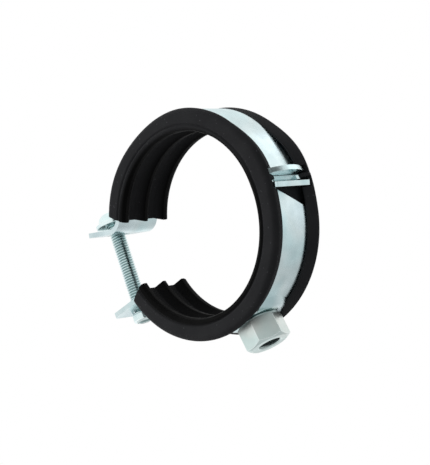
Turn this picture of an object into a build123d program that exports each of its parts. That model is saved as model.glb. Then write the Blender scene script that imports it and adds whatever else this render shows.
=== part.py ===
from build123d import *
import os
from math import asin, cos, degrees, radians, sin, tan

# Rubber lined pipe clamp, standing open as it is handed over. Two bands of zinc plated strip steel hook
# into each other on the right and are drawn together by a screw through their ears on the left. One
# rubber strip lines both. A hexagon nut welded under the lower band takes the threaded rod that carries
# the clamp. Origin on the pipe's axis at mid-width, +Y along the pipe, nut at -Z, screw at -X.
# All lengths are millimetres. Angles are degrees in the XZ plane, counted from +X towards +Z. All but the
# connection nut is built with the lower ear level, and then turned to bring the nut's seat down to -Z.

# Rubber lining
seat_radius = 26.6          # crests of the inner ribs, which grip the pipe
rib_height = 2.0
rib_web = 1.3               # rubber between a rib's foot and the band
rib_pitch = 8.1
crest_land = 1.2
valley_land = 2.3
lining_start = 150.0        # end of the rubber at the upper ear
lining_end = -168.0         # and at the lower ear
lining_clearance = 0.1      # between rubber and steel
lip_height = 1.8            # rubber outside the band
lip_side = 1.9              # rubber beside the band's edge
lip_cover = 2.6             # how far a lip reaches over the band
lip_bevel = 1.5
lip_edge_height = 0.7       # a lip thins towards its edge
side_bevel = 0.9            # between the outer crest and the side face
crease_depth = 0.45
crease_half_width = 0.5
catch_lips = (-2.8, 1.2)    # the lips are cut away between these angles for the two flanges,
hook_lips = (-9.9, -4.8)
upper_ear_lips = 147.0      # and from these angles on to the ears,
lower_ear_lips = -162.0
notch_clearance = 0.3       # by this much beside the steel

# Steel bands
sheet = 1.5
band_width = 16.5
upper_band_start = 149.3    # where the upper band turns out into its ear
upper_ear_direction = 158.0
upper_ear_length = 10.3
upper_ear_bend = 4.2        # this and the other bends are mid-line radii
lower_band_start = -162.8
lower_ear_direction = 180.0
lower_ear_bend = 2.25
ear_corner = 1.5

# Hook hinge: the end flange of each band lies across the neck of the other
hinge_angle = -3.5
hinge_clearance = 0.9       # the axis lies just outside the lining, which bends there
opening = 2.4               # by which the upper half is swung up, past the round
catch_direction = -8.0      # lower band's flange
catch_height = -0.3         # its mid-line at the bend, above the pipe's axis
catch_bend = 1.6
catch_length = 3.4
catch_overhang = 4.0        # its rounded rim at mid-width, outside the band
catch_rim_radius = 14.0
hook_direction = -27.0      # upper band's flange, under the other
hook_angle = -6.7           # where the upper band turns out into it, about its own centre
hook_bend = 1.75
hook_length = 2.6
flange_width = 15.2
flange_corner = 1.0
neck_edge = -5.0            # the lower band's neck lies between here and the band's near edge
neck_clearance = 0.3
shoulder_height = 1.7       # lower edge of the upper band beside its own neck
lead_in_height = -5.1       # the edge that guides the hook in starts at this height beside the neck
lead_in_slope = 26.3
nib_width = 1.5             # nib that keeps the hook from sliding out sideways
nib_height = 1.3
nib_reach = 0.9
nib_place = 4.9
nib_drop = -2.4

# Closing screw with its washer on the upper ear, and the nut under the lower ear
upper_ear_margin = 4.9      # from the screw to the upper ear's end, along the ear
lower_ear_margin = 4.3      # and to the lower ear's end
screw_upwards = 82.9        # way the screw points, out of its head
screw_radius = 2.45
screw_length = 33.4
screw_point = 0.9
head_radius = 4.6
head_height = 2.7
head_rim = 0.9              # height of the straight rim, below the head's two bevels
head_shoulder = 1.8         # height where they meet
head_steep_width = 0.35
head_flat_width = 1.1
recess_length = 5.6
recess_width = 1.3
recess_depth = 1.7
washer_radius = 5.75
washer_sheet = 1.2
washer_clearance = 0.15
contact_clearance = 0.05
ear_slot_width = 6.4
ear_slot_length = 7.4
ear_slot_shift = -0.6       # inwards, the way the screw moves in the slot as the clamp closes
ear_hole_radius = 3.1
thread_clearance = 0.05
closing_nut_radius = 3.3
closing_nut_height = 3.1
closing_nut_bevel = 0.5

# Connection nut for an M8 rod, welded to a raised pad of the lower band
nut_direction = -87.3       # of its seat, while the lower ear is level
nut_across_flats = 12.0
nut_height = 8.0
nut_turn = -10.0            # one corner of the hexagon, from the direction square to the pipe
nut_bore_radius = 3.35
nut_countersink = 0.8
nut_face_radius = 5.5
nut_bevel_slope = 30.0
pad_radius = 7.8
pad_height = 0.5
pad_bevel = 0.3

# Values that follow
band_inner_radius = seat_radius + rib_height + rib_web + lining_clearance
band_radius = band_inner_radius + sheet / 2
band_outer_radius = band_inner_radius + sheet
lining_band_radius = band_inner_radius - lining_clearance
lip_foot_radius = band_outer_radius + lining_clearance
lip_radius = lip_foot_radius + lip_height
groove_half_width = band_width / 2 + lining_clearance
lining_half_width = groove_half_width + lip_side
neck_face = band_outer_radius + neck_clearance
pad_face = band_outer_radius + pad_height
washer_tilt = screw_upwards + 90 - upper_ear_direction
nut_tilt = lower_ear_direction - 90 - screw_upwards
hinge_radius = lip_radius + hinge_clearance
hinge = Vector(hinge_radius * cos(radians(hinge_angle)), hinge_radius * sin(radians(hinge_angle)))
upper_centre = hinge - hinge.rotate(Axis.Z, -opening)
catch_reach = band_outer_radius + catch_overhang
screw_offset = upper_ear_length - upper_ear_margin
room = 3 * sheet            # by which a cutter runs past what it cuts
nut_turn_down = nut_direction + 90


def polar(radius, angle):
    return Vector(radius * cos(radians(angle)), radius * sin(radians(angle)))


def upright(point):
    """The same point of an XZ sketch, in space."""
    return Vector(point.X, 0, point.Y)


def nut_side(radius):
    """Plane square to the nut's direction, at a radius, while the lower ear is level. It faces outwards."""
    return Plane(
        origin=upright(polar(radius, nut_direction)),
        x_dir=upright(polar(1, nut_direction + 90)),
        z_dir=upright(polar(1, nut_direction)),
    )


def strip(start, heading, moves):
    """Draws a sheet seen edge-on. Each move is a run and a turn: straight where the turn is 0, and
    otherwise a bend with the run as its mid-line radius, to the left where the turn is positive."""
    half = sheet / 2
    for side in (half, -half):
        place, direction = start, heading
        for run, turn in moves:
            if turn == 0:
                beside = polar(side, direction + 90)
                Line(place + beside, place + beside + polar(run, direction))
                place += polar(run, direction)
            else:
                inwards = direction + (90 if turn > 0 else -90)
                centre = place + polar(run, inwards)
                radius = run - side if turn > 0 else run + side
                CenterArc(centre, radius, inwards - 180, turn)
                place = centre + polar(run, inwards - 180 + turn)
                direction += turn
    for end, facing in ((start, heading), (place, direction)):
        Line(end + polar(half, facing + 90), end - polar(half, facing + 90))


def through_sheet(piece, direction):
    """Edges that cross the sheet of a flat flange which runs in this direction."""
    across = upright(polar(1, direction + 90))
    return piece.edges().filter_by(Axis((0, 0, 0), across))


def part_lips(centre, first, last):
    """Cuts both lips of the lining away between two angles about a centre, clear of the steel."""
    with BuildSketch(Plane.XZ) as gap:
        with BuildLine():
            foot = CenterArc(centre, lip_foot_radius, first, last - first)
            Polyline(
                foot @ 1,
                centre + polar(lip_radius + room, last),
                centre + polar(lip_radius + room, first),
                foot @ 0,
            )
        make_face()
    extrude(gap.sketch, amount=band_width / 2 + notch_clearance, both=True, mode=Mode.SUBTRACT)


def trim_flange(low, high):
    """Narrows the flange between two heights on both sides, outside the band."""
    depth = band_width / 2 - flange_width / 2 + room
    for near in (-flange_width / 2 - depth / 2, flange_width / 2 + depth / 2):
        with BuildSketch(Plane.XY.offset(low)) as beside:
            with Locations((band_outer_radius + room, near)):
                Rectangle(2 * room, depth)
        extrude(beside.sketch, amount=high - low, mode=Mode.SUBTRACT)


# Upper band: ear, half ring, neck and hook flange
upper_ear_turn = upper_band_start + 90 - upper_ear_direction
upper_bend_centre = upper_centre + polar(band_radius + upper_ear_bend, upper_band_start)
upper_ear_root = upper_bend_centre + polar(upper_ear_bend, upper_ear_direction + 90)
upper_ear_tip = upper_ear_root + polar(upper_ear_length, upper_ear_direction)
screw_place = upper_ear_root + polar(screw_offset, upper_ear_direction)
ear_plane = Plane(
    origin=upright(screw_place),
    x_dir=upright(polar(1, upper_ear_direction)),
    z_dir=upright(polar(1, upper_ear_direction - 90)),
)
hook_bottom = upper_centre.Y + (band_radius + hook_bend) * sin(radians(hook_angle)) - hook_bend - sheet

with BuildPart() as upper_band:
    with BuildSketch(Plane.XZ):
        with BuildLine():
            strip(
                upper_ear_tip,
                upper_ear_direction - 180,
                [
                    (upper_ear_length, 0),
                    (upper_ear_bend, upper_ear_turn),
                    (band_radius, hook_angle - upper_band_start),
                    (hook_bend, 90 + hook_direction - hook_angle),
                    (hook_length, 0),
                ],
            )
        make_face()
    extrude(amount=band_width / 2, both=True)
    # The neck keeps clear of the lower band's neck
    with BuildSketch(Plane.XZ.offset(-neck_edge - neck_clearance)):
        with Locations((neck_face, shoulder_height)):
            Rectangle(band_outer_radius / 2, shoulder_height - hook_bottom, align=(Align.MAX, Align.MAX))
    extrude(amount=band_width, mode=Mode.SUBTRACT)
    trim_flange(hook_bottom - room, shoulder_height)
    # Nib that stands out under the lower band's flange
    with BuildSketch(Plane.YZ.offset(band_radius)):
        with Locations((nib_place, nib_drop)):
            Rectangle(nib_width, nib_height)
    extrude(amount=sheet / 2 + nib_reach)
    with BuildSketch(ear_plane):
        with Locations((ear_slot_shift, 0)):
            SlotOverall(ear_slot_length, ear_slot_width)
    extrude(amount=sheet, both=True, mode=Mode.SUBTRACT)
    fillet(through_sheet(upper_band, upper_ear_direction).sort_by(Axis.X)[:2], ear_corner)
    fillet(through_sheet(upper_band, hook_direction).sort_by(Axis.X)[-2:], flange_corner)

# Lower band: ear, half ring, neck and catch flange, with the pad that carries the nut
catch_angle = degrees(
    asin((catch_height - catch_bend * cos(radians(catch_direction))) / (band_radius + catch_bend))
)
lower_bend_centre = polar(band_radius + lower_ear_bend, lower_band_start)
lower_ear_root = lower_bend_centre + polar(lower_ear_bend, lower_ear_direction - 90)
screw_drop = (screw_place.Y - lower_ear_root.Y) / sin(radians(screw_upwards))
lower_hole_place = screw_place - polar(screw_drop, screw_upwards)
lower_ear_length = (lower_hole_place - lower_ear_root).length + lower_ear_margin
lower_ear_tip = lower_ear_root + polar(lower_ear_length, lower_ear_direction)

with BuildPart() as lower_band:
    with BuildSketch(Plane.XZ):
        with BuildLine():
            strip(
                lower_ear_tip,
                lower_ear_direction - 180,
                [
                    (lower_ear_length, 0),
                    (lower_ear_bend, lower_band_start + 270 - lower_ear_direction),
                    (band_radius, catch_angle - lower_band_start),
                    (catch_bend, catch_direction - 90 - catch_angle),
                    (catch_length, 0),
                ],
            )
        make_face()
    extrude(amount=band_width / 2, both=True)
    # Way in for the hook from the far side, with a sloping lower edge
    way_in = band_width / 2 + room
    with BuildSketch(Plane.YZ.offset(neck_face)):
        with BuildLine():
            Polyline(
                (neck_edge, room),
                (neck_edge, lead_in_height),
                (way_in, lead_in_height - (way_in - neck_edge) * tan(radians(lead_in_slope))),
                (way_in, room),
                close=True,
            )
        make_face()
    extrude(amount=-band_outer_radius / 2, mode=Mode.SUBTRACT)
    trim_flange(lead_in_height / 2, room)
    # Rounded rim of the catch flange
    with BuildSketch(Plane.XY.offset(lead_in_height / 2)):
        Rectangle(4 * band_outer_radius, 2 * band_width)
        with Locations((catch_reach - catch_rim_radius, 0)):
            Circle(catch_rim_radius, mode=Mode.SUBTRACT)
        with Locations((neck_face, 0)):
            Rectangle(3 * band_outer_radius, 2 * band_width, align=(Align.MAX, Align.CENTER), mode=Mode.SUBTRACT)
    extrude(amount=room - lead_in_height / 2, mode=Mode.SUBTRACT)
    with BuildSketch(nut_side(pad_face)):
        Circle(pad_radius)
    extrude(amount=lining_clearance - pad_height - sheet)
    outwards = Axis((0, 0, 0), upright(polar(1, nut_direction)))
    chamfer(lower_band.faces().filter_by(outwards).sort_by(outwards)[-1].edges(), pad_bevel)
    with BuildSketch(Plane.XY.offset(lower_hole_place.Y - sheet)):
        with Locations((lower_hole_place.X, 0)):
            Circle(ear_hole_radius)
    extrude(amount=2 * sheet, mode=Mode.SUBTRACT)
    fillet(through_sheet(lower_band, lower_ear_direction).sort_by(Axis.X)[:2], ear_corner)

# Rubber lining: a ribbed strip with lips over the bands' edges
valley_radius = seat_radius + rib_height
valley_place = rib_pitch / 2
lip_edge = groove_half_width - lining_clearance - lip_cover

with BuildSketch() as lining_section:
    with BuildLine():
        Polyline(
            (seat_radius, 0),
            (seat_radius, crest_land / 2),
            (valley_radius, valley_place - valley_land / 2),
            (valley_radius, valley_place + valley_land / 2),
            (seat_radius, rib_pitch - crest_land / 2),
            (seat_radius, rib_pitch + crest_land / 2),
            (seat_radius + side_bevel, lining_half_width - crease_depth),
            (valley_radius - crease_half_width, lining_half_width),
            (valley_radius, lining_half_width - crease_depth),
            (valley_radius + crease_half_width, lining_half_width),
            (lip_radius - lip_bevel, lining_half_width),
            (lip_radius, lining_half_width - lip_bevel),
            (lip_foot_radius + lip_edge_height, lip_edge),
            (lip_foot_radius, lip_edge),
            (lip_foot_radius, groove_half_width),
            (lining_band_radius, groove_half_width),
            (lining_band_radius, 0),
            close=True,
        )
    make_face()
    mirror(about=Plane.XZ)


def lining_plane(centre, angle):
    """Plane of the lining's section at an angle about a centre, x outwards and y along the pipe."""
    return Plane(origin=upright(centre), x_dir=upright(polar(1, angle)), z_dir=upright(polar(1, angle + 90)))


with BuildPart() as rubber_lining:
    # Over the top to the hinge, a little bend there, and round to the lower ear
    upper_sweep = lining_start - hinge_angle + opening
    revolve(
        lining_plane(upper_centre, lining_start) * lining_section.sketch,
        axis=Axis(upright(upper_centre), (0, 1, 0)),
        revolution_arc=upper_sweep,
    )
    seam = lining_plane(Vector(0, 0), hinge_angle)
    revolve(seam * lining_section.sketch, axis=Axis(upright(hinge), (0, 1, 0)), revolution_arc=opening)
    revolve(seam * lining_section.sketch, axis=Axis.Y, revolution_arc=hinge_angle - lining_end)
    # The lips part round the flanges of the hook, the ears and the nut's pad
    part_lips(Vector(0, 0), *catch_lips)
    part_lips(Vector(0, 0), *hook_lips)
    part_lips(upper_centre, upper_ear_lips, lining_start + 1)
    part_lips(Vector(0, 0), lining_end - 1, lower_ear_lips)
    with BuildSketch(nut_side(band_inner_radius)):
        Circle(pad_radius + notch_clearance)
    extrude(amount=lip_radius + room - band_inner_radius, mode=Mode.SUBTRACT)

# Connection nut: bevelled hexagon with a countersunk bore
nut_plane = Plane(origin=(0, 0, -pad_face), x_dir=(1, 0, 0), z_dir=(0, 0, -1))
nut_corner_radius = nut_across_flats / 2 / cos(radians(30))
nut_bevel_height = (nut_corner_radius - nut_face_radius) * tan(radians(nut_bevel_slope))

with BuildPart() as connection_nut:
    with BuildSketch(nut_plane):
        RegularPolygon(nut_across_flats / 2, 6, major_radius=False, rotation=nut_turn)
    extrude(amount=nut_height)
    with BuildSketch(Plane.XZ):
        with BuildLine():
            Polyline(
                (0, -pad_face),
                (nut_face_radius, -pad_face),
                (nut_corner_radius, -pad_face - nut_bevel_height),
                (nut_corner_radius, -pad_face - nut_height + nut_bevel_height),
                (nut_face_radius, -pad_face - nut_height),
                (0, -pad_face - nut_height),
                close=True,
            )
        make_face()
    revolve(axis=Axis.Z, mode=Mode.INTERSECT)
    with BuildSketch(nut_plane):
        Circle(nut_bore_radius)
    extrude(amount=nut_height, mode=Mode.SUBTRACT)
    bore_rims = connection_nut.edges().filter_by(GeomType.CIRCLE).group_by(SortBy.RADIUS)[0]
    chamfer(bore_rims.sort_by(Axis.Z)[0], nut_countersink)

# Closing screw with a cross recess, its washer, and the round nut under the lower ear. They share one
# axis, square to neither ear while the clamp is open, so the washer and the nut touch them along one edge.
seat_height = sheet / 2 / cos(radians(washer_tilt)) + washer_radius * tan(radians(washer_tilt))


def on_screw(height):
    """Plane square to the screw, at a height along it above the upper ear's mid-plane."""
    along = upright(polar(1, screw_upwards))
    return Plane(origin=upright(screw_place) + along * height, x_dir=(0, 1, 0), z_dir=along)


def beside_screw(height):
    """Plane with the screw's axis as its y, from the same height."""
    square = on_screw(height)
    return Plane(origin=square.origin, x_dir=square.x_dir, z_dir=square.x_dir.cross(square.z_dir))


washer_face = seat_height + contact_clearance
head_face = washer_face + washer_sheet + contact_clearance

with BuildPart() as closing_washer:
    with BuildSketch(on_screw(washer_face)):
        Circle(washer_radius)
        Circle(screw_radius + washer_clearance, mode=Mode.SUBTRACT)
    extrude(amount=washer_sheet)

with BuildPart() as closing_screw:
    with BuildSketch(beside_screw(head_face)):
        with BuildLine():
            Polyline(
                (0, 0),
                (head_radius, 0),
                (head_radius, head_rim),
                (head_radius - head_steep_width, head_shoulder),
                (head_radius - head_steep_width - head_flat_width, head_height),
                (0, head_height),
                close=True,
            )
        make_face()
    revolve(axis=Axis(upright(screw_place), upright(polar(1, screw_upwards))))
    with BuildSketch(on_screw(head_face + head_height)):
        Rectangle(recess_length, recess_width)
        Rectangle(recess_width, recess_length)
    extrude(amount=-recess_depth, taper=20, mode=Mode.SUBTRACT)
    with BuildSketch(on_screw(head_face)):
        Circle(screw_radius)
    extrude(amount=-screw_length)
    chamfer(closing_screw.edges().filter_by(GeomType.CIRCLE).sort_by(Axis.Z)[0], screw_point)

nut_seat = -screw_drop - sheet / 2 / cos(radians(nut_tilt)) - closing_nut_radius * tan(radians(nut_tilt))

with BuildPart() as closing_nut:
    with BuildSketch(on_screw(nut_seat - contact_clearance)):
        Circle(closing_nut_radius)
        Circle(screw_radius + thread_clearance, mode=Mode.SUBTRACT)
    extrude(amount=-closing_nut_height)
    chamfer(closing_nut.edges().filter_by(GeomType.CIRCLE).sort_by(SortBy.RADIUS)[-2:], closing_nut_bevel)

pieces = {
    "upper_band": upper_band,
    "lower_band": lower_band,
    "rubber_lining": rubber_lining,
    "connection_nut": connection_nut,
    "closing_washer": closing_washer,
    "closing_screw": closing_screw,
    "closing_nut": closing_nut,
}
os.makedirs("parts", exist_ok=True)
for name, piece in pieces.items():
    solid = piece.part if piece is connection_nut else piece.part.rotate(Axis.Y, nut_turn_down)
    solid.label = name
    export_step(solid, f"parts/{name}.step")
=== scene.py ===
from math import atan2, cos, degrees, radians, sin, sqrt, tan

import bmesh
import bpy
from mathutils import Matrix, Vector


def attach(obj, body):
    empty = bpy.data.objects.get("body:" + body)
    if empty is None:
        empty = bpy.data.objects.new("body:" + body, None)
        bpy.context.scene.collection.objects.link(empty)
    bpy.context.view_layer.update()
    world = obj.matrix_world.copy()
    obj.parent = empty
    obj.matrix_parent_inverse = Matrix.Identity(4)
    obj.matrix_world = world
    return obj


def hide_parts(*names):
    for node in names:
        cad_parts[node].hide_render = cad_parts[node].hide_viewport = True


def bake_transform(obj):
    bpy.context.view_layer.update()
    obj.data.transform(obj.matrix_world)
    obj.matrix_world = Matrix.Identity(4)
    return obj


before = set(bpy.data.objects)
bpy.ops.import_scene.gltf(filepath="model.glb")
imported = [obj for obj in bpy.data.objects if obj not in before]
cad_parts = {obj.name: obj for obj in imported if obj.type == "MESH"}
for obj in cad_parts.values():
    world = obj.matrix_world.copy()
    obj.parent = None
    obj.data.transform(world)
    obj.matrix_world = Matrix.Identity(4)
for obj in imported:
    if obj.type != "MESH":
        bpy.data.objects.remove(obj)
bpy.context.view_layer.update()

# Looks of the rubber lined pipe clamp. Pieces lie in the CAD frame: origin on the pipe's axis, +Y along
# the pipe, nut at -Z, screw at -X. Sizes are millimetres until a mesh is written, in metres.
MM = 0.001

# Rubber lining
seat_radius = 26.6
valley_radius = 28.6
band_seat_radius = 29.9
lip_foot_radius = 31.6
lip_radius = 33.4
rib_pitch = 8.1
crest_land = 1.2
valley_land = 2.3
groove_half_width = 8.35
notch_half_width = 8.55
lining_half_width = 10.25
side_bevel = 0.4
crease_depth = 0.45
crease_half_width = 0.5
lip_edge = 5.65
lip_edge_height = 0.7
lip_edge_round = 0.3
crest_round = 0.45
valley_round = 0.9
lining_start = 150.0
lining_end = -168.0
hinge_angle = -3.5
hinge_radius = 34.3
opening = 2.4
catch_lips = (-2.8, 1.2)
hook_lips = (-9.9, -4.8)
upper_ear_lips = 147.0
lower_ear_lips = -162.0
pad_notch_radius = 8.1
nut_direction = -87.3      # of the nut's seat in the frame that the lining's angles are counted in
cut_slant = 17.0            # the lining's ends are cut this much off square, longer at the ribs
cut_reach = 14.0            # degrees of the ring over which the slant fades out
lip_swells = ((5.0, 26.0, 0.9), (98.0, 38.0, -0.8))    # where, how many degrees each way, how high
band_lift = 1.6             # the upper band stands off the lining's groove by this at its highest
band_lift_marks = (10.0, 62.0, 78.0, 112.0)
band_squeeze = 0.325        # and is drawn in by this share of its width there

# Seat under the nut
band_outer_radius = 31.1
seat_rim_radius = 7.2
seat_foot_radius = 11.5
seat_half_width = 5.5

# Connection nut
nut_across_flats = 12.0
nut_face_radius = 5.5
nut_turn = -10.0
nut_bevel_slope = 30.0
nut_top = -32.0
nut_bottom = -40.0
nut_bore_radius = 3.35
nut_thread_radius = 4.0
nut_thread_pitch = 1.25
nut_countersink = 0.35
nut_edge_round = 0.3

# Closing screw
screw_upwards = 82.9
screw_radius = 2.45
screw_root_radius = 2.05
screw_pitch = 0.8
screw_length = 33.4
screw_point = 0.9
head_face_place = (-36.0685, 20.9824)

# Camera, from where the photograph was taken. The clamp lies turned by object_turn in it.
camera_azimuth = 42.54
camera_elevation = 4.725
camera_distance = 0.4488
object_turn = 34.7
camera_lens = 117.74
camera_shift = (0.00762, -0.01548)

# Floor, card and lamps, in metres and watts. A lamp is its name, place, size, power and whether it is
# seen in metal. All of them point at the origin.
floor_height = -0.2
floor_half_size = 2.0
card_place = (0.9, -0.1, 0.12)
card_size = (0.5, 0.8)
world_light = 0.25
lamps = (
    ("key", (-0.72, -0.75, 0.5), (1.0, 1.0), 4.4, False),
    ("top", (0.1, -0.1, 1.2), (0.9, 0.9), 2.0, False),
    ("back", (0.5, 0.8, 0.42), (0.6, 0.5), 0.45, True),
    ("front", (-0.72, -0.75, 0.5), (0.5, 0.7), 1.0, True),
)


def polar(radius, angle):
    return Vector((radius * cos(radians(angle)), 0, radius * sin(radians(angle))))


def polar_xy(radius, angle):
    return Vector((radius * cos(radians(angle)), radius * sin(radians(angle)), 0))


# Turns what is laid out with the lower ear level, so that the nut's seat comes down to -Z
turned_down = Matrix.Rotation(radians(nut_direction + 90), 4, "Y")


def new_piece(name, mesh):
    piece = bpy.data.objects.new(name, mesh)
    bpy.context.scene.collection.objects.link(piece)
    return piece


def finished(shape, name, turn=Matrix()):
    """Turns a bmesh in millimetres into a mesh in metres, with its normals outwards."""
    bmesh.ops.transform(shape, matrix=turn, verts=shape.verts)
    bmesh.ops.remove_doubles(shape, verts=shape.verts, dist=0.0005)
    bmesh.ops.dissolve_degenerate(shape, edges=shape.edges, dist=0.0005)
    bmesh.ops.recalc_face_normals(shape, faces=shape.faces)
    bmesh.ops.scale(shape, vec=(MM, MM, MM), verts=shape.verts)
    mesh = bpy.data.meshes.new(name)
    shape.to_mesh(mesh)
    shape.free()
    return mesh


def hump(place):
    """1 at 0, falling softly to 0 at -1 and 1."""
    return cos(radians(90 * place)) ** 2 if abs(place) < 1 else 0.0


def smooth(mesh, angle=35):
    mesh.shade_smooth()
    mesh.set_sharp_from_angle(angle=radians(angle))


def mark(mesh, name, value):
    """Writes a number for each vertex, which the materials read by this name."""
    layer = mesh.attributes.new(name, "FLOAT", "POINT")
    for vertex, item in zip(mesh.vertices, layer.data):
        item.value = value(vertex.co / MM)


def mark_edge_highlight(mesh):
    """Marks the middle of the rounded edges, for the painted highlight along them. Their faces have come
    out with material 1.
    """
    flat = set()
    kinds = {}
    for face in mesh.polygons:
        if face.material_index == 0:
            flat.update(face.vertices)
        for key in face.edge_keys:
            kinds.setdefault(key, set()).add(face.material_index)
        face.material_index = 0
    for edge in mesh.edges:
        if len(kinds[edge.key]) > 1:
            edge.use_edge_sharp = True
    layer = mesh.attributes.new("painted_edge_highlight", "FLOAT", "POINT")
    for i, item in enumerate(layer.data):
        item.value = 0.0 if i in flat else 1.0


def rounded_cad(node, width, segments=3, above=None):
    """Mesh of a CAD node with its edges rounded. above is a point and direction: only what lies on that
    side of the plane is kept, and the cut is closed."""
    shape = bmesh.new()
    shape.from_mesh(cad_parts[node].data)
    bmesh.ops.remove_doubles(shape, verts=shape.verts, dist=2e-6)
    if above:
        everything = shape.verts[:] + shape.edges[:] + shape.faces[:]
        cut = bmesh.ops.bisect_plane(
            shape, geom=everything, plane_co=above[0], plane_no=above[1], clear_inner=True
        )
        rim = [e for e in cut["geom_cut"] if isinstance(e, bmesh.types.BMEdge)]
        bmesh.ops.contextual_create(shape, geom=rim)
    bmesh.ops.dissolve_limit(shape, angle_limit=radians(0.6), verts=shape.verts, edges=shape.edges)
    mesh = bpy.data.meshes.new(node)
    shape.to_mesh(mesh)
    shape.free()
    helper = new_piece("helper", mesh)
    rounding = helper.modifiers.new("rounding", "BEVEL")
    rounding.width = width * MM
    rounding.segments = segments
    rounding.limit_method = "ANGLE"
    rounding.angle_limit = radians(28)
    rounding.use_clamp_overlap = True
    rounding.material = 1
    for _ in range(2):
        mesh.materials.append(None)
    evaluated = helper.evaluated_get(bpy.context.evaluated_depsgraph_get())
    result = bpy.data.meshes.new_from_object(evaluated)
    bpy.data.objects.remove(helper)
    smooth(result)
    mark_edge_highlight(result)
    return result


def joined(name, *meshes):
    """One mesh of several, with the marks that they carry."""
    shape = bmesh.new()
    for mesh in meshes:
        shape.from_mesh(mesh)
    whole = bpy.data.meshes.new(name)
    shape.to_mesh(whole)
    shape.free()
    return whole


def upper_centre():
    """Centre of the upper ring. It meets the lower ring at the hinge, by opening degrees further round."""
    return polar(hinge_radius, hinge_angle) - polar(hinge_radius, hinge_angle - opening)


def lifted_band(mesh):
    """The open upper band has sprung off the lining a little at its middle."""
    level = turned_down.inverted()
    centre = upper_centre()
    first, full, falling, last = band_lift_marks
    for vertex in mesh.vertices:
        place = level @ (vertex.co / MM) - centre
        angle = degrees(atan2(place.z, place.x))
        up = min(max((angle - first) / (full - first), 0), 1)
        down = min(max((last - angle) / (last - falling), 0), 1)
        share = hump(1 - min(up, down))
        place.y *= 1 - band_squeeze * hump(1 - min(4 * share, 1))
        vertex.co = (turned_down @ (centre + place + polar(band_lift * share, angle))) * MM
    return mesh


def seat_swell():
    """The band round the nut's seat, drawn out in a soft slope up to the seat's rim."""
    shape = bmesh.new()
    along, across = 60, 12
    grid = []
    for i in range(along + 1):
        row = []
        for j in range(across + 1):
            x = seat_foot_radius * (2 * i / along - 1)
            y = seat_half_width * (2 * j / across - 1)
            from_foot = seat_foot_radius - sqrt(x * x + y * y)
            up = min(max(from_foot / (seat_foot_radius - seat_rim_radius), 0), 1)
            share = up * up * (3 - 2 * up)
            under = -sqrt((band_outer_radius - 0.1) ** 2 - x * x)
            row.append(shape.verts.new((x, y, under + (nut_top + 0.03 - under) * share)))
        grid.append(row)
    for one, two in zip(grid, grid[1:]):
        for j in range(across):
            shape.faces.new((one[j], one[j + 1], two[j + 1], two[j]))
    bmesh.ops.solidify(shape, geom=shape.faces[:], thickness=0.3)
    mesh = finished(shape, "seat")
    smooth(mesh, 40)
    return mesh


# Rubber lining, swept round the two rings and the hinge between them

def fillet(before, corner, after, radius, steps=3):
    """Points of an arc that rounds the corner of a line, as (radius, across) pairs."""
    to_before = (before - corner).normalized()
    to_after = (after - corner).normalized()
    half = to_before.angle(to_after) / 2
    reach = min(radius / tan(half), 0.45 * (before - corner).length, 0.45 * (after - corner).length)
    middle = corner + (to_before + to_after).normalized() * reach / cos(half)
    first = corner + to_before * reach - middle
    last = corner + to_after * reach - middle
    size = first.length
    return [middle + (first.lerp(last, i / steps)).normalized() * size for i in range(steps + 1)]


def lining_half(edge):
    """Half of the lining's section, from the middle crest over the lip to the groove's floor. edge is
    how near the lip comes to the mid-plane."""
    corner_round = lining_half_width - notch_half_width
    marks = [
        (seat_radius, 0, 0),
        (seat_radius, crest_land / 2, crest_round),
        (valley_radius, (rib_pitch - valley_land) / 2, valley_round),
        (valley_radius, (rib_pitch + valley_land) / 2, valley_round),
        (seat_radius, rib_pitch - crest_land / 2, crest_round),
        (seat_radius, rib_pitch + crest_land / 2, crest_round),
        (seat_radius + side_bevel, lining_half_width - crease_depth, crest_round),
        (valley_radius - crease_half_width, lining_half_width, 0.3),
        (valley_radius, lining_half_width - crease_depth, 0.15),
        (valley_radius + crease_half_width, lining_half_width, 0.3),
        (lip_radius, lining_half_width, corner_round),
        (lip_radius, lining_half_width - 2 * corner_round - 1, 0),
    ]
    corners = [Vector(mark[:2]) for mark in marks]
    line = [corners[0]]
    for i in range(1, len(marks) - 1):
        steps = 6 if i == len(marks) - 2 else 3
        line += fillet(corners[i - 1], corners[i], corners[i + 1], marks[i][2], steps)
    slope = (lip_radius - lip_foot_radius - lip_edge_height) / (notch_half_width - lip_edge)
    top = lip_foot_radius + lip_edge_height + slope * (edge - lip_edge)
    ease = min(lip_edge_round, notch_half_width - edge)
    for turn in (0, 30, 60, 90):
        away = Vector((cos(radians(turn)), -sin(radians(turn)))) * ease
        line.append(Vector((top - ease, edge + ease)) + away)
    for turn in (0, 30, 60, 90):
        away = Vector((-sin(radians(turn)), -cos(radians(turn)))) * ease
        line.append(Vector((lip_foot_radius + ease, edge + ease)) + away)
    line.append(Vector((lip_foot_radius, groove_half_width)))
    line.append(Vector((band_seat_radius, groove_half_width)))
    line.append(Vector((band_seat_radius, 0)))
    return line


def lining_ring(shape, centre, angle, edge):
    """The lining's section at one angle, slanted near the ends and swollen where lip_swells says."""
    half = lining_half(edge)
    line = half + [Vector((point.x, -point.y)) for point in half[-2:0:-1]]
    from_start = 1 - (lining_start - angle) / cut_reach
    from_end = 1 - (angle - lining_end) / cut_reach
    slant = tan(radians(cut_slant)) * (max(from_start, 0) - max(from_end, 0))
    swell = sum(hump((angle - at) / reach) * height for at, reach, height in lip_swells)
    ring = []
    for p in line:
        turned = angle + degrees(slant * (valley_radius - p.x) / p.x)
        out = p.x + swell * (p.x - seat_radius) / (lip_radius - seat_radius)
        ring.append(shape.verts.new(centre + polar(out, turned) + Vector((0, p.y, 0))))
    return ring


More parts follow.
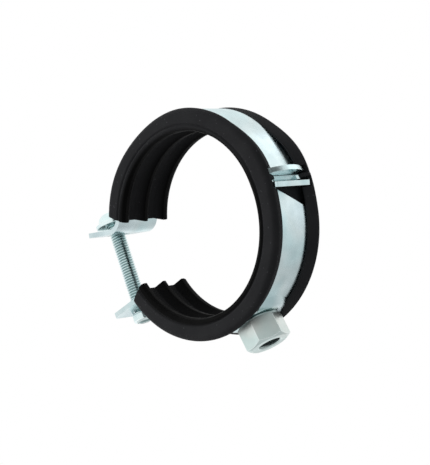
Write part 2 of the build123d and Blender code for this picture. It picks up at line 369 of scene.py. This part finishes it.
def lip_edge_at(place):
    """How near the lips come to the mid-plane: they part round the nut's pad."""
    beside = place.dot(polar(1, nut_direction + 90))
    if place.z > 0 or abs(beside) >= sqrt(pad_notch_radius ** 2 - lip_edge ** 2):
        return lip_edge
    return sqrt(pad_notch_radius ** 2 - beside ** 2)


def spread(first, last, step, marks=()):
    """Angles from first down to last, with the marks among them."""
    count = round(abs(first - last) / step)
    angles = [first + (last - first) * i / count for i in range(count + 1)]
    angles = [a for a in angles if all(abs(a - mark) > 0.3 for mark in marks)]
    return sorted(angles + list(marks), reverse=True)


def lining_mesh():
    hinge = polar(hinge_radius, hinge_angle)
    upper = upper_centre()
    middle = (lip_foot_radius + lip_radius) / 2

    def seen_from_upper(angle):
        place = polar(middle, angle) - upper
        return degrees(atan2(place.z, place.x))

    upper_catch = [seen_from_upper(angle) for angle in catch_lips]
    ranges = [
        (upper, lining_start, hinge_angle - opening, [(upper_ear_lips, 360), tuple(upper_catch)]),
        (None, hinge_angle - opening, hinge_angle, []),
        (Vector(), hinge_angle, lining_end, [hook_lips, (-360, lower_ear_lips)]),
    ]
    shape = bmesh.new()
    rings = []
    for centre, first, last, notches in ranges:
        if centre is None:
            for angle in (first + 0.8, last - 0.8):
                rings.append(lining_ring(shape, hinge - polar(hinge_radius, angle), angle, lip_edge))
            continue
        walls = [a for notch in notches for a in notch if abs(a) < 360]
        pad = [nut_direction + side * degrees(pad_turn) for side in (-1, 1) for pad_turn in pad_turns()]
        marks = walls + [a for a in pad if last < a < first]
        for angle in spread(first, last, 2.5, marks):
            place = centre + polar(middle, angle)
            edge = lip_edge_at(place)
            before = any(low < angle + 0.01 < high for low, high in notches)
            after = any(low < angle - 0.01 < high for low, high in notches)
            rings.append(lining_ring(shape, centre, angle, notch_half_width if before else edge))
            if before != after:
                rings.append(lining_ring(shape, centre, angle, notch_half_width if after else edge))
    shape.faces.new(rings[0])
    shape.faces.new(rings[-1])
    for one, two in zip(rings, rings[1:]):
        for i, vertex in enumerate(one):
            j = (i + 1) % len(one)
            shape.faces.new((vertex, one[j], two[j], two[i]))
    mesh = finished(shape, "lining", turned_down)
    mark(mesh, "painted_rib_shade", painted_rib_shade_share)
    smooth(mesh, 40)
    return mesh


def painted_rib_shade_share(place):
    """1 on the ribs, which take a painted shade inside the ring, and 0 on the faces and lips."""
    radius = sqrt(place.x ** 2 + place.z ** 2)
    return min(max((valley_radius + 0.4 - radius) / 0.8, 0), 1)


def pad_turns():
    """Half angles at which the lips' edge round the pad gets its points."""
    widest = sqrt(pad_notch_radius ** 2 - lip_edge ** 2)
    reach = (lip_foot_radius + lip_radius) / 2
    return [atan2(widest * part / 6, reach) for part in range(7)]


# Threads

def thread_wall(shape, place, length, pitch, profile, sides, limit):
    """Right-hand thread from 0 to length along z, put in place by a matrix. profile is (share of the
    pitch, radius) pairs, and limit(z, radius) trims the radius near the ends. Returns both end rings."""
    rows_per_turn = len(profile)
    ends = {}
    rows = {}

    def vertex(row, side):
        if side == sides:
            return vertex(row + rows_per_turn, 0)
        turn, step = divmod(row, rows_per_turn)
        share, radius = profile[step]
        z = pitch * (turn - 1 + share + side / sides)
        if z <= 0 or z >= length:
            z = 0 if z <= 0 else length
            key, table = (z > 0, side), ends
            radius = limit(z, None)
        else:
            key, table = (row, side), rows
            radius = limit(z, radius)
        if key not in table:
            angle = radians(360 * side / sides)
            table[key] = shape.verts.new(place @ Vector((radius * cos(angle), radius * sin(angle), z)))
        return table[key]

    for row in range(rows_per_turn * (round(length / pitch) + 3)):
        for side in range(sides):
            places = ((row, side), (row, side + 1), (row + 1, side + 1), (row + 1, side))
            distinct = list(dict.fromkeys(vertex(*at) for at in places))
            if len(distinct) > 2:
                shape.faces.new(distinct)
    return [[ends[top, side] for side in range(sides)] for top in (False, True)]


def screw_mesh():
    """Threaded shank, with the head of the CAD screw on it."""
    along = turned_down @ polar(1, screw_upwards)
    face = turned_down @ Vector((head_face_place[0], 0, head_face_place[1]))
    across = Vector((0, 1, 0))
    turned = Matrix((across, along.cross(across), along)).transposed()
    place = Matrix.Translation(face - along * screw_length) @ turned.to_4x4()
    shape = bmesh.new()

    def limit(z, radius):
        most = min(screw_radius, screw_radius - screw_point + z)
        return min(most, radius) if radius else min(most, screw_root_radius)

    root, crest = screw_root_radius, screw_radius
    profile = [(0.0, root), (0.14, root), (0.5, crest), (0.64, crest)]
    tip, top = thread_wall(shape, place, screw_length, screw_pitch, profile, 32, limit)
    shape.faces.new(tip)
    shape.faces.new(top)
    mesh = finished(shape, "screw")
    head = rounded_cad("closing_screw", 0.12, above=((face + along * 0.01) * MM, along))
    smooth(mesh, 50)
    whole = joined("closing_screw_piece", mesh, head)

    # how far into a thread root a point lies, for the painted shade there
    def depth(place):
        apart = (place - face).cross(along).length
        if (face - place).dot(along) <= 0:
            return 0
        return min(max((screw_radius - apart) / (screw_radius - screw_root_radius), 0), 1) ** 2

    mark(whole, "painted_thread_shade", depth)
    return whole


def nut_mesh():
    """Bevelled hexagon nut with its thread, as rings round the bore."""
    sides = 72
    shape = bmesh.new()
    place = Matrix.Translation((0, 0, nut_bottom + nut_countersink))
    depth = nut_top - nut_bottom - nut_countersink
    bore, root = nut_bore_radius, nut_thread_radius
    profile = [(0.0, bore), (0.2, bore), (0.55, root), (0.65, root)]

    def limit(z, radius):
        most = nut_bore_radius + 0.9 * min(z, depth - z)
        return max(nut_bore_radius, min(most, radius or 0))

    wall_ends = thread_wall(shape, place, depth, nut_thread_pitch, profile, sides, limit)

    def ring(outline):
        result = []
        for side in range(sides):
            radius, z = outline(360 * side / sides)
            result.append(shape.verts.new(polar_xy(radius, 360 * side / sides) + Vector((0, 0, z))))
        return result

    def hexagon(angle):
        return nut_across_flats / 2 / cos(radians((angle - nut_turn) % 60 - 30))

    def bevel_drop(angle):
        return (hexagon(angle) - nut_face_radius) * tan(radians(nut_bevel_slope))

    rings = [
        wall_ends[0],
        ring(lambda a: (nut_bore_radius + nut_countersink, nut_bottom)),
        ring(lambda a: (nut_face_radius, nut_bottom)),
        ring(lambda a: (hexagon(a), nut_bottom + bevel_drop(a))),
        ring(lambda a: (hexagon(a), nut_top - bevel_drop(a))),
        ring(lambda a: (nut_face_radius, nut_top)),
        wall_ends[1],
    ]
    for one, two in zip(rings, rings[1:]):
        for i, vertex in enumerate(one):
            j = (i + 1) % sides
            shape.faces.new((vertex, one[j], two[j], two[i]))
    bmesh.ops.recalc_face_normals(shape, faces=shape.faces)
    shape.edges.ensure_lookup_table()
    outside = []
    for edge in shape.edges:
        far = min(Vector(v.co[:2]).length for v in edge.verts) > nut_bore_radius + 0.5 * nut_countersink
        if far and len(edge.link_faces) == 2 and degrees(edge.calc_face_angle()) > 12:
            outside.append(edge)
    bmesh.ops.bevel(
        shape,
        geom=outside,
        offset=nut_edge_round,
        segments=3,
        profile=0.5,
        affect="EDGES",
        clamp_overlap=True,
        material=1,
    )
    mesh = finished(shape, "nut")
    for _ in range(2):
        mesh.materials.append(None)
    smooth(mesh, 30)
    mark_edge_highlight(mesh)

    # the bore above the countersink, which takes a painted shade
    def depth(place):
        inside = Vector(place[:2]).length < nut_thread_radius + 0.05
        return min(max((place.z - nut_bottom - nut_countersink) / 0.6, 0), 1) if inside else 0

    mark(mesh, "painted_thread_shade", depth)
    return mesh


# Materials

class Nodes:
    """Short ways to build a material's node tree."""

    def __init__(self, name):
        self.material = bpy.data.materials.new(name)
        self.material.use_nodes = True
        self.tree = self.material.node_tree
        self.shader = self.tree.nodes["Principled BSDF"]
        self.place = self.tree.nodes.new("ShaderNodeTexCoord").outputs["Object"]

    def link(self, source, target):
        self.tree.links.new(source, target)

    def noise(self, size, detail=3.0, roughness=0.5):
        """Noise whose features are about this many millimetres across."""
        node = self.tree.nodes.new("ShaderNodeTexNoise")
        node.inputs["Scale"].default_value = 1 / (size * MM)
        node.inputs["Detail"].default_value = detail
        node.inputs["Roughness"].default_value = roughness
        self.link(self.place, node.inputs["Vector"])
        return node.outputs["Fac"]

    def ramp(self, value, *stops):
        node = self.tree.nodes.new("ShaderNodeValToRGB")
        stops = list(stops)
        while len(node.color_ramp.elements) < len(stops):
            node.color_ramp.elements.new(0.5)
        for element, (place, colour) in zip(node.color_ramp.elements, stops):
            element.position = place
            element.color = (*colour, 1)
        self.link(value, node.inputs["Fac"])
        return node.outputs["Color"]

    def between(self, value, low, high, first=0.3, last=0.7):
        node = self.tree.nodes.new("ShaderNodeMapRange")
        node.inputs["From Min"].default_value = first
        node.inputs["From Max"].default_value = last
        node.inputs["To Min"].default_value = low
        node.inputs["To Max"].default_value = high
        self.link(value, node.inputs["Value"])
        return node.outputs["Result"]

    def mix(self, share, one, two, blend="MIX"):
        node = self.tree.nodes.new("ShaderNodeMix")
        node.data_type = "RGBA"
        node.blend_type = blend
        for value, socket in ((share, node.inputs[0]), (one, node.inputs[6]), (two, node.inputs[7])):
            if isinstance(value, float):
                socket.default_value = value
            elif isinstance(value, tuple):
                socket.default_value = (*value, 1)
            else:
                self.link(value, socket)
        return node.outputs[2]

    def marked(self, name):
        node = self.tree.nodes.new("ShaderNodeAttribute")
        node.attribute_name = name
        return node.outputs["Fac"]

    def bump(self, height, depth, normal=None):
        node = self.tree.nodes.new("ShaderNodeBump")
        node.inputs["Strength"].default_value = 1.0
        node.inputs["Distance"].default_value = depth * MM
        self.link(height, node.inputs["Height"])
        if normal:
            self.link(normal, node.inputs["Normal"])
        return node.outputs["Normal"]


def zinc(name, bright, dull, roughness, grain=0.003, thread_shade=(0.28, 0.38, 0.38)):
    """Zinc plating: a pale metal with cloudy patches, a faint blue and straw tint and fine scratches, with
    a painted highlight on the rounded edges and painted shade in the thread roots and inside the nut's
    bore."""
    n = Nodes(name)
    clouds = n.noise(7, 4.0, 0.55)
    tint = n.noise(16, 2.0)
    base = n.ramp(clouds, (0.3, dull), (0.65, bright))
    hue = n.ramp(tint, (0.35, (0.90, 1.0, 1.0)), (0.5, (1.0, 1.0, 0.985)), (0.66, (0.97, 0.985, 1.0)))
    base = n.mix(1.0, base, hue, "MULTIPLY")
    # painted highlight: the rounded edges turn near white, standing in for the glints along them
    base = n.mix(n.marked("painted_edge_highlight"), base, (0.92, 0.95, 0.94))
    # painted shade: the thread roots and the nut's bore are darkened where shade falls
    base = n.mix(n.marked("painted_thread_shade"), base, thread_shade)
    n.link(base, n.shader.inputs["Base Color"])
    n.shader.inputs["Metallic"].default_value = 1.0
    n.link(n.between(clouds, roughness + 0.07, roughness - 0.05), n.shader.inputs["Roughness"])
    fine = n.noise(0.35, 3.0, 0.6)
    coarse = n.noise(6, 1.0)
    n.link(n.bump(fine, grain, n.bump(coarse, 0.08)), n.shader.inputs["Normal"])
    return n.material


def rubber():
    """Matt black rubber with a fine grain and a few pale specks of dust, and a painted shade that darkens
    the inner ribs nearly to black.
    """
    n = Nodes("black_rubber")
    patches = n.noise(9, 3.0)
    black = n.ramp(patches, (0.35, (0.031, 0.031, 0.033)), (0.7, (0.045, 0.045, 0.047)))
    specks = n.noise(0.7, 0.0)
    dust = n.between(specks, 0.0, 0.4, 0.79, 0.83)
    black = n.mix(dust, black, (0.16, 0.16, 0.17))
    # painted shade: the ribs inside the ring are darkened nearly to black
    n.link(n.mix(n.marked("painted_rib_shade"), black, (0.003, 0.003, 0.003)), n.shader.inputs["Base Color"])
    n.link(n.between(patches, 0.58, 0.72), n.shader.inputs["Roughness"])
    n.shader.inputs["Specular IOR Level"].default_value = 0.06
    n.link(n.bump(n.noise(0.3, 2.0), 0.02, n.bump(n.noise(5, 2.0), 0.10)), n.shader.inputs["Normal"])
    return n.material


def pale_floor():
    """Pale and matt, lifted towards the white round it for the eye and in metal. It keeps its shadows."""
    n = Nodes("pale_floor")
    base = n.ramp(n.noise(60, 2.0), (0.3, (0.47, 0.47, 0.47)), (0.7, (0.5, 0.5, 0.5)))
    n.link(base, n.shader.inputs["Base Color"])
    n.shader.inputs["Roughness"].default_value = 0.9
    n.shader.inputs["Specular IOR Level"].default_value = 0.1
    path = n.tree.nodes.new("ShaderNodeLightPath")
    apart = n.tree.nodes.new("ShaderNodeVectorMath")
    apart.operation = "LENGTH"
    n.link(n.place, apart.inputs[0])
    far_off = n.between(apart.outputs["Value"], 0.42, 1.0, 0.15, 0.8)
    in_metal = n.mix(path.outputs["Is Glossy Ray"], (0, 0, 0), far_off)
    seen = n.mix(path.outputs["Is Camera Ray"], in_metal, (0.62, 0.62, 0.62))
    lift = n.tree.nodes.new("ShaderNodeEmission")
    n.link(seen, lift.inputs["Strength"])
    both = n.tree.nodes.new("ShaderNodeAddShader")
    n.link(n.shader.outputs[0], both.inputs[0])
    n.link(lift.outputs[0], both.inputs[1])
    n.link(both.outputs[0], n.tree.nodes["Material Output"].inputs["Surface"])
    return n.material


def dark_card():
    """Nearly black, for the card that gives the zinc something dark to reflect."""
    n = Nodes("dark_card")
    base = n.ramp(n.noise(60, 2.0), (0.3, (0.02, 0.03, 0.03)), (0.7, (0.03, 0.04, 0.04)))
    n.link(base, n.shader.inputs["Base Color"])
    n.shader.inputs["Roughness"].default_value = 1.0
    return n.material


def dress(name, mesh, material, body, node):
    """A piece that stands for a CAD node and rides on its body, if one is named."""
    mesh.materials.clear()
    mesh.materials.append(material)
    piece = new_piece(name, mesh)
    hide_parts(node)
    if body:
        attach(piece, body)
    return piece


def dress_clamp():
    band_zinc = zinc("zinc_band", (0.66, 0.77, 0.79), (0.53, 0.64, 0.66), 0.27)
    screw_zinc = zinc("zinc_screw", (0.80, 0.93, 0.94), (0.66, 0.80, 0.81), 0.24)
    nut_zinc = zinc("zinc_nut", (0.72, 0.77, 0.75), (0.63, 0.68, 0.66), 0.34, 0.006, (0.18, 0.22, 0.22))
    upper_band = lifted_band(rounded_cad("upper_band", 0.22))
    dress("upper_band_piece", upper_band, band_zinc, "upper_half", "upper_band")
    lower_band = joined("lower_band_piece", rounded_cad("lower_band", 0.22), seat_swell())
    dress("lower_band_piece", lower_band, band_zinc, "lower_half", "lower_band")
    dress("connection_nut_piece", nut_mesh(), nut_zinc, "lower_half", "connection_nut")
    closing_nut = rounded_cad("closing_nut", 0.15)
    dress("closing_nut_piece", closing_nut, screw_zinc, "lower_half", "closing_nut")
    washer = rounded_cad("closing_washer", 0.2)
    dress("closing_washer_piece", washer, screw_zinc, "screw_carriage", "closing_washer")
    dress("closing_screw_piece", screw_mesh(), screw_zinc, "screw", "closing_screw")
    lining = dress("lining_piece", lining_mesh(), rubber(), None, "rubber_lining")
    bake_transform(lining)


# Stage, light and camera

def square(name, half_size, material):
    shape = bmesh.new()
    bmesh.ops.create_grid(shape, x_segments=1, y_segments=1, size=half_size)
    mesh = bpy.data.meshes.new(name)
    shape.to_mesh(mesh)
    shape.free()
    mesh.materials.append(material)
    return new_piece(name, mesh)


def area_light(name, place, size, power, in_metal):
    data = bpy.data.lights.new(name, "AREA")
    data.shape = "RECTANGLE"
    data.size, data.size_y = size
    data.energy = power
    lamp = bpy.data.objects.new(name, data)
    lamp.visible_glossy = in_metal
    lamp.location = place
    lamp.rotation_euler = (-Vector(place)).to_track_quat("-Z", "Y").to_euler()
    bpy.context.scene.collection.objects.link(lamp)


def set_world():
    """White where the camera, metal or glass sees it, and a plain grey light otherwise."""
    world = bpy.data.worlds.new("studio")
    bpy.context.scene.world = world
    world.use_nodes = True
    tree = world.node_tree
    tree.nodes.clear()
    out = tree.nodes.new("ShaderNodeOutputWorld")
    mix = tree.nodes.new("ShaderNodeMixShader")
    light = tree.nodes.new("ShaderNodeBackground")
    light.inputs["Color"].default_value = (0.9, 0.95, 1.0, 1)
    light.inputs["Strength"].default_value = world_light
    white = tree.nodes.new("ShaderNodeBackground")
    white.inputs["Color"].default_value = (1, 1, 1, 1)
    white.inputs["Strength"].default_value = 1.0
    path = tree.nodes.new("ShaderNodeLightPath")
    seen = path.outputs["Is Camera Ray"]
    for kind in ("Is Glossy Ray", "Is Transmission Ray"):
        either = tree.nodes.new("ShaderNodeMath")
        either.operation = "MAXIMUM"
        tree.links.new(seen, either.inputs[0])
        tree.links.new(path.outputs[kind], either.inputs[1])
        seen = either.outputs[0]
    tree.links.new(seen, mix.inputs[0])
    tree.links.new(light.outputs[0], mix.inputs[1])
    tree.links.new(white.outputs[0], mix.inputs[2])
    tree.links.new(mix.outputs[0], out.inputs["Surface"])


def set_stage():
    """Floor, lamps and world, and a dark card at the side that only reflections see."""
    floor = square("floor", floor_half_size, pale_floor())
    floor.location.z = floor_height
    card = square("card", 0.5, dark_card())
    card.matrix_world = Matrix.Translation(card_place) @ Matrix.Rotation(radians(90), 4, "Y")
    card.scale = (*card_size, 1)
    card.visible_camera = False
    card.visible_diffuse = False
    card.visible_shadow = False
    set_world()
    for lamp in lamps:
        area_light(*lamp)


def set_camera():
    """Stands where the photographer stood, level in the photograph's frame, which is turned about Y."""
    azimuth, elevation = radians(camera_azimuth), radians(camera_elevation)
    back = Vector((sin(azimuth) * cos(elevation), -cos(azimuth) * cos(elevation), sin(elevation)))
    right = Vector((0, 0, 1)).cross(back).normalized()
    level = Matrix((right, back.cross(right), back)).transposed()
    turn = Matrix.Rotation(radians(object_turn), 3, "Y")
    data = bpy.data.cameras.new("camera")
    data.lens = camera_lens
    data.shift_x, data.shift_y = camera_shift
    camera = bpy.data.objects.new("camera", data)
    camera.matrix_world = Matrix.Translation(turn @ back * camera_distance) @ (turn @ level).to_4x4()
    bpy.context.scene.collection.objects.link(camera)
    bpy.context.scene.camera = camera


dress_clamp()
set_stage()
set_camera()
bpy.context.scene.view_settings.view_transform = "Standard"
